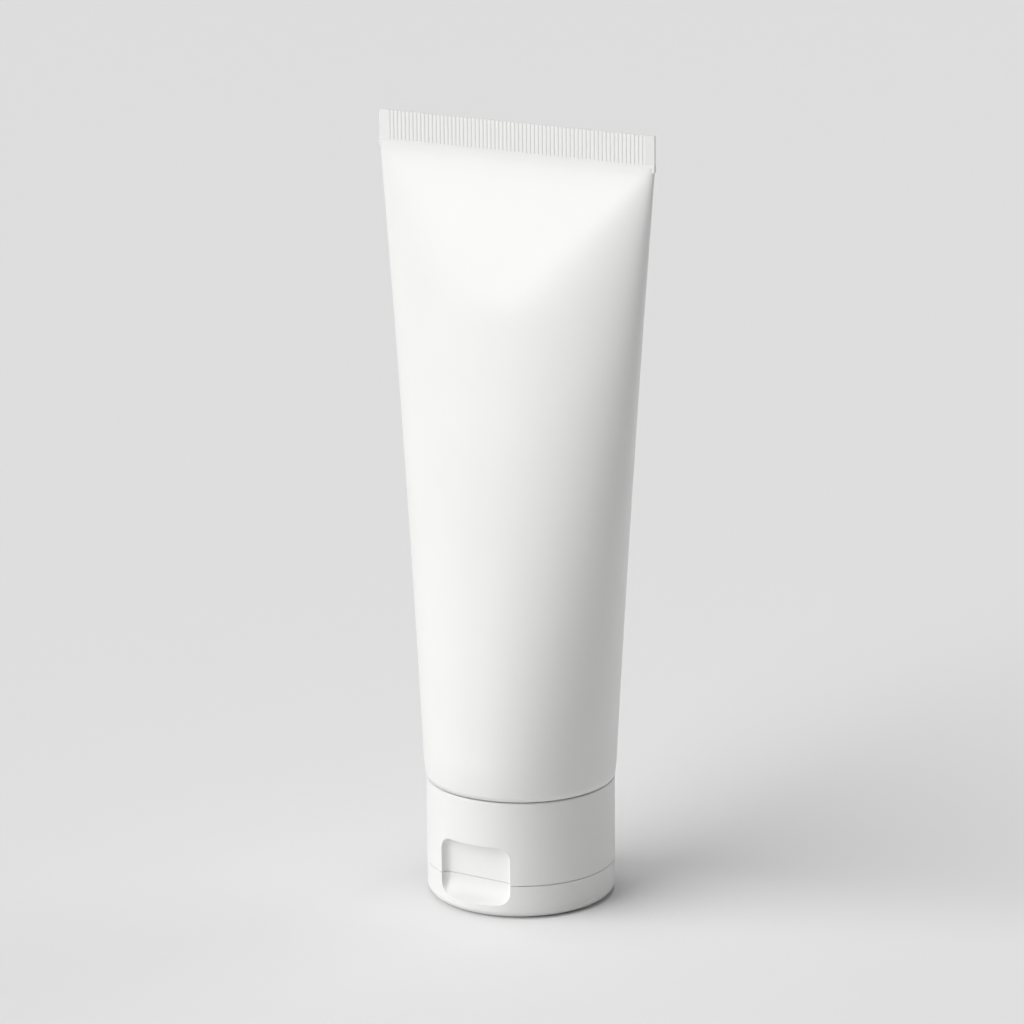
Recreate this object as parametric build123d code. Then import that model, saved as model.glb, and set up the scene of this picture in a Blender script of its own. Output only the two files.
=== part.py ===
from build123d import *
import math
import os

# A squeeze tube for paste, stored standing on its flip-top cap. Millimetres, +Z up.
# The origin is the centre of the lid's flat face, on the surface that the tube stands on.
# The thumb recess faces -Y, the lid's film hinge is at +Y, and the crimp runs along X.

# overall sizes
sleeve_r = 20.0          # outside radius of the round end of the sleeve
total_h = 162.0          # lid face to crimp edge
cap_h = 25.0             # lid face to the rim of the base
lid_h = 7.15             # height of the lid alone

# sleeve and its heat-sealed end
sleeve_wall = 0.5
crimp_h = 6.4
crimp_t = 1.0            # both walls pressed together
rib_pitch = 0.9
rib_depth = 0.14
rib_margins = (2.6, 1.2)  # plain ends of the crimp at -X and +X
plain_band = 0.45        # smooth strip below the ribs
press_step = 0.04        # how far the jaws press the crimp in below the sleeve
wedge_h = 30.0           # flat triangle that the crimp pulls into each side
least_flat = 0.6         # keeps four edges in every section of the sleeve
edge_tuck = 0.5          # how far the sleeve turns in over the head
edge_h = 5.7             # height over which it turns in

# head: shoulder and neck
neck_r = 9.0
neck_wall = 1.6
bead_proud = 0.5
bead_half_h = 0.7
shoulder_t = 1.4
rim_h = 5.0              # the shoulder's upstand that the sleeve is welded to
rim_t = 0.9

# cap
cap_turn = -3.0          # degrees that the cap sits off the crimp's middle plane
cap_wall = 1.3
deck_t = 1.35
deck_rise = 1.75         # underside of the deck above the parting plane
socket_h = 11.6
collar_h = 1.8           # upstand of the base that the lid closes over
collar_t = 0.95
spout_r = 4.2
spout_h = 4.0
orifice_r = 2.5
lid_plate = 1.6
lid_edge_r = 2.2
plug_t = 0.85
plug_reach = 1.5         # how far the plug enters the orifice
plug_taper = 0.25

# thumb recess, shared by base and lid
recess_half_w = 8.3
recess_top = 8.15        # above the lid's height
recess_low = 4.45        # below the lid's height
recess_depth = 3.3       # at the middle of its back wall
recess_corner = 2.8
recess_fillet = 1.4

# film hinge
pocket_depth = 0.8       # chord flat in base and lid that leaves room for the film
pocket_h = 5.0
web_t = 0.3
web_half_w = 4.6
web_bend_r = 0.45        # inside radius of the folded film

# small edges
seam_edge_r = 0.1
rim_edge_r = 0.3

# clearances
seam = 0.1               # between lid and base
sleeve_gap = 0.3         # between the base's rim and the sleeve
weld_gap = 0.1           # sleeve to head, before the weld
socket_gap = 0.3         # neck to socket
collar_gap = 0.35        # lid to collar
plug_gap = 0.35          # plug to orifice
fill_gap = 0.15          # paste to whatever holds it
headspace = 14.0         # air between the paste and the crimp

# heights that follow
base_low = lid_h + seam
deck_low = base_low + deck_rise
deck_top = deck_low + deck_t
spout_low = deck_low - spout_h
collar_low = base_low - collar_h
socket_top = deck_top + socket_h
sleeve_low = cap_h + sleeve_gap
sleeve_full = sleeve_low + edge_h
crimp_low = total_h - crimp_h
neck_low = deck_top + socket_gap
bead_z = socket_top - 3 * bead_half_h
recess_z0 = lid_h - recess_low
recess_z1 = lid_h + recess_top

# radii that follow
cap_r = sleeve_r - edge_tuck           # base and lid, flush with the sleeve's turned-in edge
recess_back = cap_r - recess_depth     # distance of the recess's back wall from the axis
flat_half = math.pi * sleeve_r / 2     # half the width of the flattened sleeve
cap_bore = cap_r - cap_wall
socket_r = neck_r + socket_gap
collar_r = cap_bore - collar_gap
collar_bore = collar_r - collar_t
neck_bore = neck_r - neck_wall
plug_r = orifice_r - plug_gap
pocket_y = cap_r - pocket_depth
fold_z = lid_h + seam / 2
far = 2 * cap_r          # reach of a cutting tool past the cap


def turned(points):
    """A solid turned about Z from a closed outline of (radius, height) points."""
    return revolve(Plane.XZ * make_face(Polyline(*points, close=True)), Axis.Z)


def circle_edges(part, radius, height):
    """The part's circular edges of this radius at this height."""
    return [
        edge
        for edge in part.edges().filter_by(GeomType.CIRCLE)
        if abs(edge.radius - radius) < 0.01 and abs(edge.arc_center.Z - height) < 0.01
    ]


def film_depth(flat, end):
    """Half the depth of a section whose girth is still that of the round sleeve."""
    low, high = 0.0, 2 * sleeve_r
    for _ in range(40):
        depth = (low + high) / 2
        ellipse = math.pi * (3 * (end + depth) - math.sqrt((3 * end + depth) * (end + 3 * depth)))
        if 4 * flat + ellipse < 2 * math.pi * sleeve_r:
            low = depth
        else:
            high = depth
    return depth


def sleeve_form(z):
    """Flat half-length, half-ellipse length and half depth of the sleeve's outside at a height."""
    rise = max(0.0, (z - sleeve_full) / (crimp_low - sleeve_full))
    half_width = sleeve_r + (flat_half - sleeve_r) * rise
    near_crimp = max(0.0, 1 - (crimp_low - z) / wedge_h)
    flat = least_flat + (flat_half - crimp_t / 2 - least_flat) * near_crimp
    end = half_width - flat
    depth = math.hypot(film_depth(flat, end), crimp_t / 2 * rise)
    tuck = 1 - edge_tuck / sleeve_r * max(0.0, (sleeve_full - z) / edge_h) ** 2
    return flat * tuck, end * tuck, depth * tuck


def sleeve_section(z, inset):
    """The sleeve's section at a height, moved in by a wall or a clearance."""
    flat, end, depth = sleeve_form(z)
    end, depth = end - inset, depth - inset
    outline = [
        EllipticalCenterArc((flat, 0), end, depth, start_angle=-90, arc_size=180),
        Line((flat, depth), (-flat, depth)),
        EllipticalCenterArc((-flat, 0), end, depth, start_angle=90, arc_size=180),
        Line((-flat, -depth), (flat, -depth)),
    ]
    return Pos(0, 0, z) * make_face(outline)


def sleeve_body(inset, to_crimp=False):
    """The space inside the sleeve's outside surface, less an inset, up to the crimp or just under it."""
    plain_h = crimp_low - wedge_h - sleeve_full
    heights = [sleeve_low, sleeve_low + edge_h / 2]
    heights += [sleeve_full + plain_h * share for share in (0, 1 / 3, 2 / 3, 1)]
    heights += [crimp_low - wedge_h * share for share in (0.65, 0.3, 0.1)]
    if to_crimp:
        heights.append(crimp_low)
    return loft([sleeve_section(z, inset) for z in heights])


def crimp():
    """The pressed end of the sleeve, ribbed on both faces."""
    press_t = crimp_t - 2 * press_step
    plate = Pos(0, 0, crimp_low - crimp_t) * extrude(
        SlotOverall(2 * (flat_half - press_step), press_t), crimp_h + crimp_t
    )
    ribbed_h = crimp_h - plain_band
    start, end = -flat_half + rib_margins[0], flat_half - rib_margins[1]
    count = int((end - start) / rib_pitch)
    groove = Box(rib_pitch / 2, 2 * rib_depth, ribbed_h, align=(Align.MIN, Align.CENTER, Align.MIN))
    grooves = [
        Pos(start + step * rib_pitch, side * press_t / 2, crimp_low + plain_band) * groove
        for step in range(count)
        for side in (-1, 1)
    ]
    return plate - grooves


def tube_sleeve():
    """Extruded sleeve, closed at its far end by the crimp."""
    return sleeve_body(0, to_crimp=True) + crimp() - sleeve_body(sleeve_wall)


def tube_head():
    """Moulded shoulder and neck; the sleeve is welded round its rim."""
    low = sleeve_low + weld_gap
    inside_r = sleeve_r - sleeve_wall - weld_gap
    low_r = inside_r - edge_tuck
    return turned([
        (neck_bore, neck_low),
        (neck_r, neck_low),
        (neck_r, bead_z - bead_half_h),
        (neck_r + bead_proud, bead_z),
        (neck_r, bead_z + bead_half_h),
        (neck_r, low),
        (low_r, low),
        (inside_r - edge_tuck * (1 - rim_h / edge_h) ** 2, low + rim_h),
        (inside_r - edge_tuck * (1 - rim_h / edge_h) ** 2 - rim_t, low + rim_h),
        (low_r - rim_t, low + shoulder_t),
        (neck_bore, low + shoulder_t),
    ])


def paste_fill():
    """The paste, from the orifice up to the air under the crimp."""
    shoulder_top = sleeve_low + weld_gap + shoulder_t
    rim_top = sleeve_low + weld_gap + rim_h
    low_r = sleeve_r - sleeve_wall - weld_gap - edge_tuck - rim_t - fill_gap
    neck = turned([
        (0, base_low),
        (orifice_r - fill_gap, base_low),
        (orifice_r - fill_gap, deck_top + fill_gap),
        (neck_bore - fill_gap, deck_top + fill_gap),
        (neck_bore - fill_gap, shoulder_top + fill_gap),
        (low_r, shoulder_top + fill_gap),
        (low_r, rim_top + 1),
        (0, rim_top + 1),
    ])
    filled_h = crimp_low - headspace - rim_top - fill_gap
    filled = Pos(0, 0, rim_top + fill_gap) * Box(
        2 * flat_half, 2 * flat_half, filled_h, align=(Align.CENTER, Align.CENTER, Align.MIN)
    )
    return neck + (sleeve_body(sleeve_wall + fill_gap) & filled)


def recess_tool(grow):
    """The thumb recess as a solid: straight back above the parting plane, dished below it."""
    half_w, corner = recess_half_w + grow, recess_corner + grow
    back, low, high = recess_back - grow, recess_z0 - grow, recess_z1 + grow
    front = Plane.XZ * Pos(0, (low + high) / 2) * RectangleRounded(2 * half_w, high - low, corner)
    window = extrude(front, far, both=True)
    dish = Pos(0, -cap_r, lid_h) * Rot(0, 90, 0) * extrude(Ellipse(lid_h - low, cap_r - back), far, both=True)
    straight = Pos(0, -back, lid_h) * Box(far, far, far, align=(Align.CENTER, Align.MAX, Align.MIN))
    return window & (straight + dish) & Pos(0, -far, 0) * Box(far, 2 * far, 2 * far)


def recess():
    """The thumb recess with its back edges rounded."""
    tool = recess_tool(0)
    back_edges = [edge for edge in tool.edges() if edge.bounding_box().min.Y > -recess_back - 0.01]
    return fillet(back_edges, recess_fillet)


def cap_base():
    """Body of the cap: skirt, deck with its spout, neck socket and collar."""
    base = turned([
        (cap_r, base_low),
        (cap_r, cap_h),
        (cap_bore, cap_h),
        (cap_bore, deck_top),
        (socket_r + cap_wall, deck_top),
        (socket_r + cap_wall, socket_top),
        (socket_r, socket_top),
        (socket_r, bead_z + bead_half_h + socket_gap),
        (socket_r + bead_proud, bead_z),
        (socket_r, bead_z - bead_half_h - socket_gap),
        (socket_r, deck_top),
        (orifice_r, deck_top),
        (orifice_r, spout_low),
        (spout_r, spout_low),
        (spout_r, deck_low),
        (collar_bore, deck_low),
        (collar_bore, collar_low),
        (collar_r, collar_low),
        (collar_r, base_low),
    ])
    base = fillet(circle_edges(base, cap_r, base_low), seam_edge_r)
    base = fillet(circle_edges(base, cap_r, cap_h), rim_edge_r)
    above = Pos(0, 0, base_low) * Cylinder(cap_r, cap_h, align=(Align.CENTER, Align.CENTER, Align.MIN))
    below = Pos(0, -recess_back, base_low) * Box(
        2 * (recess_half_w + cap_wall + collar_gap),
        2 * (cap_wall + collar_gap),
        2 * collar_h,
        align=(Align.CENTER, Align.CENTER, Align.MAX),
    )
    front = Pos(0, -recess_back, base_low) * Box(far, far, 2 * collar_h, align=(Align.CENTER, Align.MAX, Align.MAX))
    pocket = Pos(0, pocket_y, base_low) * Box(far, far, pocket_h, align=(Align.CENTER, Align.MIN, Align.MIN))
    return base - below - front + (recess_tool(cap_wall) & above) - recess() - pocket


def cap_lid():
    """Flip-top lid with its sealing plug."""
    lid = turned([
        (0, 0),
        (cap_r, 0),
        (cap_r, lid_h),
        (cap_bore, lid_h),
        (cap_bore, lid_plate),
        (plug_r, lid_plate),
        (plug_r - plug_taper, spout_low + plug_reach),
        (plug_r - plug_t, spout_low + plug_reach),
        (plug_r - plug_t, lid_plate),
        (0, lid_plate),
    ])
    lid = fillet(circle_edges(lid, cap_r, 0), lid_edge_r)
    lid = fillet(circle_edges(lid, cap_r, lid_h), seam_edge_r)
    inside = Cylinder(cap_r, lid_h, align=(Align.CENTER, Align.CENTER, Align.MIN))
    pocket = Pos(0, pocket_y, lid_h) * Box(far, far, pocket_h, align=(Align.CENTER, Align.MIN, Align.MAX))
    return lid + (recess_tool(cap_wall) & inside) - recess() - pocket


def hinge_web():
    """The thin film that joins lid and base, folded while the lid is shut."""
    ring = Circle(web_bend_r + web_t) - Circle(web_bend_r)
    bar = Rot(0, 90, 0) * extrude(ring, web_half_w, both=True)
    outside = Box(far, far, far, align=(Align.CENTER, Align.MIN, Align.CENTER))
    return Pos(0, pocket_y, fold_z) * (bar & outside)


os.makedirs("parts", exist_ok=True)
nodes = {
    "tube_sleeve": tube_sleeve(),
    "tube_head": tube_head(),
    "paste_fill": paste_fill(),
    "cap_base": Rot(0, 0, cap_turn) * cap_base(),
    "cap_lid": Rot(0, 0, cap_turn) * cap_lid(),
    "hinge_web": Rot(0, 0, cap_turn) * hinge_web(),
}
for name, shape in nodes.items():
    export_step(shape, f"parts/{name}.step")
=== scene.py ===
import bmesh
import bpy
import math
from mathutils import Matrix, Quaternion, Vector


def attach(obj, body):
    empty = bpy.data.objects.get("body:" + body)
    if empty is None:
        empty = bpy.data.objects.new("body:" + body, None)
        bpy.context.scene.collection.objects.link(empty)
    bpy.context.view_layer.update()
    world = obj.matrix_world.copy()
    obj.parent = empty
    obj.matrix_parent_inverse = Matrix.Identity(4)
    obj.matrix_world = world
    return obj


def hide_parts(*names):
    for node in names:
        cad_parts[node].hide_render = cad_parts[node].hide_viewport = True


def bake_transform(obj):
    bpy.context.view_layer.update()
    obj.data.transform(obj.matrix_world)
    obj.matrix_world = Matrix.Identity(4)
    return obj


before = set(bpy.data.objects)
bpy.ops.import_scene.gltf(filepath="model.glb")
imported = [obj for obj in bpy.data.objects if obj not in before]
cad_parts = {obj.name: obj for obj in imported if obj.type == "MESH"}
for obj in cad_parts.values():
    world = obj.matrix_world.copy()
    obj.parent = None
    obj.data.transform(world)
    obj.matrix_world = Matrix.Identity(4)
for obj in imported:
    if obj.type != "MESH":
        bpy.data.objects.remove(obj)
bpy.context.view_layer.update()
scene = bpy.context.scene
mm = 0.001  # sizes below are in millimetres, and meshes are in metres
mergeMm = 0.001  # points nearer than this are one point


def linear(hexColour):  # sRGB hex to the linear values that shaders use
    parts = [int(hexColour[i:i + 2], 16) / 255 for i in (1, 3, 5)]
    return [p / 12.92 if p <= 0.04045 else ((p + 0.055) / 1.055) ** 2.4 for p in parts] + [1.0]


def addNode(tree, kind, settings=None, links=None):  # one node, its settings and what feeds it
    node = tree.nodes.new(kind)
    for key, value in (settings or {}).items():
        node.inputs[key].default_value = value
    for key, source in (links or {}).items():
        tree.links.new(source, node.inputs[key])
    return node


def meshPiece(name, bm, smooth=True):
    bmesh.ops.remove_doubles(bm, verts=bm.verts, dist=mergeMm * mm)
    bmesh.ops.recalc_face_normals(bm, faces=bm.faces)
    mesh = bpy.data.meshes.new(name)
    bm.to_mesh(mesh)
    bm.free()
    mesh.polygons.foreach_set("use_smooth", [smooth] * len(mesh.polygons))
    piece = bpy.data.objects.new(name, mesh)
    scene.collection.objects.link(piece)
    return piece


def dress(piece, material):
    piece.data.materials.clear()
    piece.data.materials.append(material)


# What every plastic here shares: the cloud drifts slowly over the surface and the grain is fine.
drift = {"cloudDetail": 3.0, "grainDetail": 2.0, "grainRough": 0.6, "lowTo": 0.3, "highFrom": 0.7,
         "shine": 0.04, "ior": 1.5}


def mouldedPlastic(name, look):
    # A white polyolefin: clean near-white, a broad soft highlight, and a faint grain
    # where the colour and the shine drift by a hair over the surface.
    material = bpy.data.materials.new(name)
    material.use_nodes = True
    tree = material.node_tree
    tree.nodes.clear()
    coords = addNode(tree, "ShaderNodeTexCoord").outputs["Object"]
    cloud = addNode(tree, "ShaderNodeTexNoise",
                    {"Scale": 1 / (look["cloudMm"] * mm), "Detail": drift["cloudDetail"]},
                    {"Vector": coords})
    grain = addNode(tree, "ShaderNodeTexNoise",
                    {"Scale": 1 / (look["grainMm"] * mm), "Detail": drift["grainDetail"],
                     "Roughness": drift["grainRough"]},
                    {"Vector": coords})
    tone = addNode(tree, "ShaderNodeValToRGB", None, {"Fac": cloud.outputs["Fac"]})
    tone.color_ramp.elements[0].color = linear(look["low"])
    tone.color_ramp.elements[1].color = linear(look["high"])
    tone.color_ramp.elements[0].position = drift["lowTo"]
    tone.color_ramp.elements[1].position = drift["highFrom"]
    shine = addNode(tree, "ShaderNodeMapRange",
                    {"To Min": look["rough"] - drift["shine"], "To Max": look["rough"] + drift["shine"]},
                    {"Value": cloud.outputs["Fac"]})
    bump = addNode(tree, "ShaderNodeBump",
                   {"Strength": look["bump"], "Distance": look["grainDepthMm"] * mm},
                   {"Height": grain.outputs["Fac"]})
    shader = addNode(tree, "ShaderNodeBsdfPrincipled", {"IOR": drift["ior"]},
                     {"Base Color": tone.outputs["Color"], "Roughness": shine.outputs["Result"],
                      "Normal": bump.outputs["Normal"]})
    addNode(tree, "ShaderNodeOutputMaterial", None, {"Surface": shader.outputs["BSDF"]})
    return material


# extruded polyethylene film, smooth, with a sheen a little clearer than the cap's
sleeveLook = {"low": "#F0F0EF", "high": "#F3F3F2", "rough": 0.40, "cloudMm": 30, "grainMm": 0.5,
              "grainDepthMm": 0.01, "bump": 0.25}
# moulded polypropylene, a shade duller, with the finer grain of the mould
capLook = {"low": "#EFEFEE", "high": "#F1F1F0", "rough": 0.46, "cloudMm": 14, "grainMm": 0.25,
           "grainDepthMm": 0.01, "bump": 0.35}
# moulded polyethylene, a touch greyer, and hidden by the sleeve and the cap
headLook = {"low": "#E9E9E6", "high": "#EEEEEB", "rough": 0.5, "cloudMm": 8, "grainMm": 0.3,
            "grainDepthMm": 0.01, "bump": 0.3}
# wet paste, faintly blue-green and glossier than the plastic, with small lumps
pasteLook = {"low": "#E3EFEE", "high": "#EDF5F4", "rough": 0.28, "cloudMm": 3, "grainMm": 1.2,
             "grainDepthMm": 0.05, "bump": 0.4}
sleeveFilm = mouldedPlastic("polyethyleneSleeveFilm", sleeveLook)
capPlastic = mouldedPlastic("polypropyleneCap", capLook)
headPlastic = mouldedPlastic("polyethyleneHead", headLook)
pasteStuff = mouldedPlastic("whitePaste", pasteLook)
print("materials made")

# The sleeve is a round film pressed flat at its top, so every section above its tucked-in edge
# keeps about the same girth: a rectangle's long sides, of half-length flat, closed by half ellipses.
sleeve = {"radius": 20.0, "wall": 0.5, "lowZ": 25.3, "tuckH": 5.7, "tuck": 0.5, "wedgeH": 30.0,
          "leastFlat": 0.62, "tipFade": 0.004, "lipH": 2.0, "around": 256, "rings": 120,
          "arcSteps": 48, "halvings": 40}
# Rib shares count along one pitch: where the groove's fall, its floor and its rise end.
crimp = {"lowZ": 155.6, "topZ": 162.0, "thick": 1.0, "press": 0.04, "plainBand": 0.45, "bandLap": 1.0,
         "marginLeft": 2.6, "marginRight": 1.2, "ribPitch": 0.9, "ribDepth": 0.09,
         "fallEnd": 0.14, "floorEnd": 0.42, "riseEnd": 0.56, "edgeShare": 0.6}
flatHalf = math.pi * sleeve["radius"] / 2


def girth(flat, end, depth):  # round a section, with Ramanujan's formula for its two half ellipses
    return 4 * flat + math.pi * (3 * (end + depth) - math.sqrt((3 * end + depth) * (end + 3 * depth)))


def filmDepth(flat, end):  # the half depth at which a section has the sleeve's girth
    low, high = 0.0, 2 * sleeve["radius"]
    for _ in range(sleeve["halvings"]):
        depth = (low + high) / 2
        if girth(flat, end, depth) < 2 * math.pi * sleeve["radius"]:
            low = depth
        else:
            high = depth
    return depth


def sleeveForm(z):  # flat half-length, end half-length and half depth at a height, all in mm
    fullZ = sleeve["lowZ"] + sleeve["tuckH"]
    rise = max(0.0, (z - fullZ) / (crimp["lowZ"] - fullZ))
    halfWidth = sleeve["radius"] + (flatHalf - sleeve["radius"]) * rise
    near = 1 - (crimp["lowZ"] - z) / sleeve["wedgeH"]
    near = (near + math.sqrt(near * near + sleeve["tipFade"])) / 2  # the flat triangle has no hard tip
    mostFlat = flatHalf - crimp["thick"] / 2
    flat = sleeve["leastFlat"] + (mostFlat - sleeve["leastFlat"]) * min(near, 1.0)
    end = halfWidth - flat
    depth = math.hypot(filmDepth(flat, end), crimp["thick"] / 2 * rise)
    tuck = 1 - sleeve["tuck"] / sleeve["radius"] * max(0.0, (fullZ - z) / sleeve["tuckH"]) ** 2
    return flat * tuck, end * tuck, depth * tuck


def sectionPoint(form, share):  # the point that lies a share of the girth round from +X
    flat, end, depth = form
    quarter = share * 4
    side = int(quarter) % 4
    along = quarter - int(quarter)
    if side % 2:
        along = 1 - along
    steps = sleeve["arcSteps"]
    lengths = [0.0]
    for k in range(steps):
        a, b = (math.pi / 2 * (k + d) / steps for d in (0, 1))
        chord = math.hypot(end * (math.cos(b) - math.cos(a)), depth * (math.sin(b) - math.sin(a)))
        lengths.append(lengths[-1] + chord)
    target = along * (lengths[-1] + flat)
    if target >= lengths[-1]:
        x, y = flat - (target - lengths[-1]), depth
    else:
        k = max(i for i in range(steps) if lengths[i] <= target)
        angle = math.pi / 2 * (k + (target - lengths[k]) / (lengths[k + 1] - lengths[k])) / steps
        x, y = flat + end * math.cos(angle), depth * math.sin(angle)
    return (-x if side in (1, 2) else x), (-y if side in (2, 3) else y)


def growRing(bm, ring):  # extrudes a closed ring of points, and gives the new ring in the same order
    members = set(ring)
    places = {vert.co.copy().freeze(): i for i, vert in enumerate(ring)}
    edges = [edge for edge in bm.edges if edge.verts[0] in members and edge.verts[1] in members]
    grown = bmesh.ops.extrude_edge_only(bm, edges=edges)["geom"]
    fresh = [item for item in grown if isinstance(item, bmesh.types.BMVert)]
    return sorted(fresh, key=lambda vert: places[vert.co.copy().freeze()])


def buildSleeve():
    bm = bmesh.new()
    count, rings = sleeve["around"], sleeve["rings"]
    circle = bmesh.ops.create_circle(bm, cap_ends=False, segments=count, radius=sleeve["radius"] * mm)
    bottom = sorted(circle["verts"], key=lambda vert: math.atan2(vert.co.y, vert.co.x) % (2 * math.pi))
    ring = bottom
    for r in range(rings + 1):
        if r:
            ring = growRing(bm, ring)
        z = sleeve["lowZ"] + (crimp["lowZ"] - sleeve["lowZ"]) * (r / rings)
        form = sleeveForm(z)
        for i, vert in enumerate(ring):
            x, y = sectionPoint(form, i / count)
            vert.co = Vector((x, y, z)) * mm
    crimpFace = bm.faces.new(ring)
    for edge in crimpFace.edges:
        edge.smooth = False
    lip = bottom  # the film's cut edge and a short way up its inside
    lipRadius = sleeve["radius"] - sleeve["tuck"] - sleeve["wall"]
    for z in (sleeve["lowZ"], sleeve["lowZ"] + sleeve["lipH"]):
        lip = growRing(bm, lip)
        for i, vert in enumerate(lip):
            angle = 2 * math.pi * i / count
            vert.co = Vector((lipRadius * math.cos(angle), lipRadius * math.sin(angle), z)) * mm
    bm.faces.new(lip)
    return bm


def buildCrimp():  # a ribbed plate above a plain band, both pressed a little under the film's surface
    halfWide = flatHalf - crimp["press"]
    halfThick = crimp["thick"] / 2 - crimp["press"]
    start, end = -flatHalf + crimp["marginLeft"], flatHalf - crimp["marginRight"]
    pitch = crimp["ribPitch"]
    deep = 1 - crimp["ribDepth"] / halfThick
    front = [(-halfWide, crimp["edgeShare"])]  # along X, with a share of the half thickness
    for k in range(int((end - start) / pitch)):
        x = start + k * pitch
        front += [(x, 1.0), (x + crimp["fallEnd"] * pitch, deep),
                  (x + crimp["floorEnd"] * pitch, deep), (x + crimp["riseEnd"] * pitch, 1.0)]
    front += [(halfWide, crimp["edgeShare"])]
    outline = [(x, -t * halfThick) for x, t in front] + [(x, t * halfThick) for x, t in reversed(front)]
    bm = bmesh.new()
    ring = [bm.verts.new(Vector((x, y, 0)) * mm) for x, y in outline]
    face = bm.faces.new(ring)
    low = crimp["lowZ"] + crimp["plainBand"]
    bmesh.ops.translate(bm, verts=bm.verts, vec=(0, 0, low * mm))
    grown = bmesh.ops.extrude_face_region(bm, geom=[face])["geom"]
    bmesh.ops.translate(bm, verts=[item for item in grown if isinstance(item, bmesh.types.BMVert)],
                        vec=(0, 0, (crimp["topZ"] - low) * mm))
    bandH = crimp["plainBand"] + crimp["bandLap"]
    band = bmesh.ops.create_cube(bm, size=1.0)["verts"]
    bmesh.ops.scale(bm, verts=band, vec=Vector((2 * halfWide, 2 * halfThick, bandH)) * mm)
    bmesh.ops.translate(bm, verts=band, vec=(0, 0, (low - bandH / 2) * mm))
    return bm


sleevePiece = meshPiece("sleeve_film", buildSleeve())
crimpPiece = meshPiece("sleeve_crimp", buildCrimp(), smooth=False)
for piece in (sleevePiece, crimpPiece):
    dress(piece, sleeveFilm)
    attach(piece, "tube")
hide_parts("tube_sleeve")
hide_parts("tube_sleeve")
print("sleeve made")

# The film hinge is folded at rest.
hinge = {"turn": -3.0, "pocketY": 18.7, "foldZ": 7.2, "inner": 0.45, "thick": 0.3,
         "halfW": 4.6, "steps": 16}
capTurn = Matrix.Rotation(math.radians(hinge["turn"]), 3, "Z")  # the cap sits off the crimp's middle plane


def buildHinge():
    bm = bmesh.new()
    y, halfW = hinge["pocketY"], hinge["halfW"]
    inner, outer = hinge["inner"], hinge["inner"] + hinge["thick"]
    corners = [(-halfW, inner), (halfW, inner), (halfW, outer), (-halfW, outer)]
    face = bm.faces.new([bm.verts.new(Vector((x, y, hinge["foldZ"] + r)) * mm) for x, r in corners])
    bmesh.ops.spin(bm, geom=[face, *face.edges, *face.verts], cent=Vector((0, y, hinge["foldZ"])) * mm,
                   axis=(1, 0, 0), angle=-math.pi, steps=hinge["steps"])
    bmesh.ops.rotate(bm, verts=bm.verts, cent=(0, 0, 0), matrix=capTurn)
    return bm


hingePiece = meshPiece("hinge_film", buildHinge())
dress(hingePiece, capPlastic)
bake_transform(hingePiece)
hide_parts("hinge_web")
print("hinge made")

nodeFinish = {"cap_base": capPlastic, "cap_lid": capPlastic,
              "tube_head": headPlastic, "paste_fill": pasteStuff}
for node, material in nodeFinish.items():
    dress(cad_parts[node], material)
print("cap, head and paste finished")

# Angles are in degrees. side is where the camera stands, turned from the front,
# and a lamp's turn counts from there, + to the right.
studio = {"side": 29.0, "world": 0.03, "floor": "#E5E5E5", "floorRadius": 6.0, "floorAround": 96,
          "floorRough": 0.9, "floorSpecular": 0.1,
          "key": {"turn": -66, "up": 34, "spread": 60, "strength": 2.5},
          "top": {"turn": 0, "up": 90, "spread": 20, "strength": 1.33},
          "rim": {"turn": 115, "up": 14, "spread": 35, "strength": 0.55}}


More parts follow.
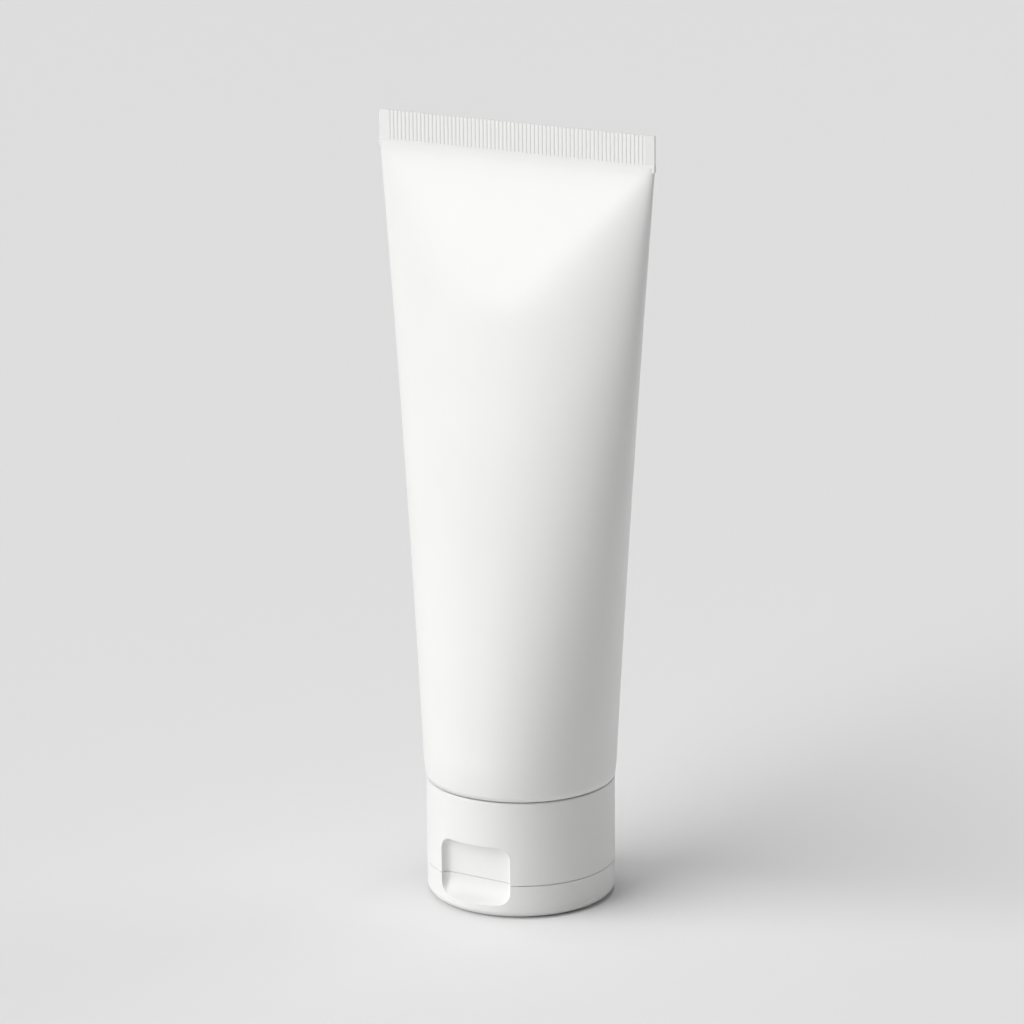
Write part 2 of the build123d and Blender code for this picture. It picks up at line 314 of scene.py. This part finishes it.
def addLamp(name, lamp):  # a broad soft source, far off, that lights the floor evenly
    data = bpy.data.lights.new(name, "SUN")
    data.angle = math.radians(lamp["spread"])
    data.energy = lamp["strength"]
    obj = bpy.data.objects.new(name, data)
    angle = math.radians(studio["side"] + lamp["turn"])
    level, up = math.cos(math.radians(lamp["up"])), math.sin(math.radians(lamp["up"]))
    obj.location = (math.sin(angle) * level, -math.cos(angle) * level, up)
    obj.rotation_euler = obj.location.to_track_quat("Z", "Y").to_euler()
    scene.collection.objects.link(obj)


def addFloor():
    bm = bmesh.new()
    bmesh.ops.create_circle(bm, cap_ends=True, segments=studio["floorAround"], radius=studio["floorRadius"])
    floor = meshPiece("studio_floor", bm, smooth=False)
    material = bpy.data.materials.new("paintedFloor")
    material.use_nodes = True
    shader = material.node_tree.nodes["Principled BSDF"]
    shader.inputs["Base Color"].default_value = linear(studio["floor"])
    shader.inputs["Roughness"].default_value = studio["floorRough"]
    shader.inputs["Specular IOR Level"].default_value = studio["floorSpecular"]
    dress(floor, material)


addFloor()
for lampName in ("key", "top", "rim"):
    addLamp(lampName + "Lamp", studio[lampName])
world = bpy.data.worlds.new("studioWorld")
world.use_nodes = True
world.node_tree.nodes["Background"].inputs["Color"].default_value = (1, 1, 1, 1)
world.node_tree.nodes["Background"].inputs["Strength"].default_value = studio["world"]
scene.world = world
scene.view_settings.view_transform = "Standard"

# distance and height are in metres, lens and sensor in millimetres, and the angles in degrees
view = {"distance": 0.99766, "height": 0.36312, "lens": 178.84, "sensor": 36.0,
        "pitch": 15.783, "pan": 0.076, "roll": -0.485}
azimuth = math.radians(studio["side"])
heading = azimuth + math.radians(view["pan"])
pitch = math.radians(view["pitch"])
cameraData = bpy.data.cameras.new("studioCamera")
cameraData.lens = view["lens"]
cameraData.sensor_width = view["sensor"]
camera = bpy.data.objects.new("studioCamera", cameraData)
camera.location = (math.sin(azimuth) * view["distance"], -math.cos(azimuth) * view["distance"],
                   view["height"])
level = math.cos(pitch)
forward = Vector((-math.sin(heading) * level, math.cos(heading) * level, -math.sin(pitch)))
turn = forward.to_track_quat("-Z", "Y") @ Quaternion((0, 0, 1), math.radians(view["roll"]))
camera.rotation_euler = turn.to_euler()
scene.collection.objects.link(camera)
scene.camera = camera
print("studio made")
